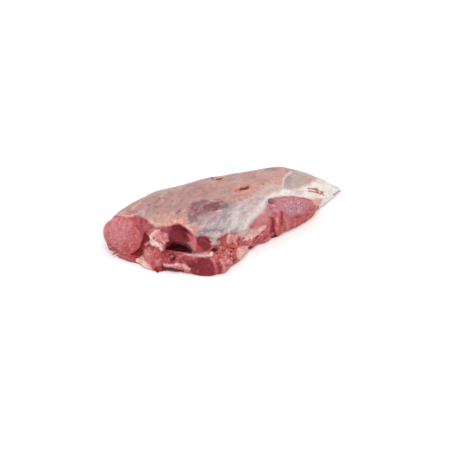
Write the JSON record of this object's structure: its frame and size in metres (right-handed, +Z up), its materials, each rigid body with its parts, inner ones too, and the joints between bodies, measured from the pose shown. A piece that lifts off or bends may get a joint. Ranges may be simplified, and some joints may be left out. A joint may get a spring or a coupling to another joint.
{
  "type": "beef top blade",
  "caption": "Whole raw boneless beef top blade: a wedge-shaped slab under silverskin, with cut muscles at the blunt end and a thin tail.",
  "frame": {"origin": "on the surface the meat lies on, under the middle of its bounding box", "axes": "+X from the cut end to the thin tail, along the longest extent; -Y the trimmed long side with the bare red muscle; +Z up"},
  "size_m": [0.4172, 0.1868, 0.0854],
  "materials": {
    "raw_beef": "moist raw beef under pinkish grey silverskin, red where it is cut"
  },
  "bodies": {
    "root": {"top_blade": "raw_beef"}
  },
  "joints": []
}
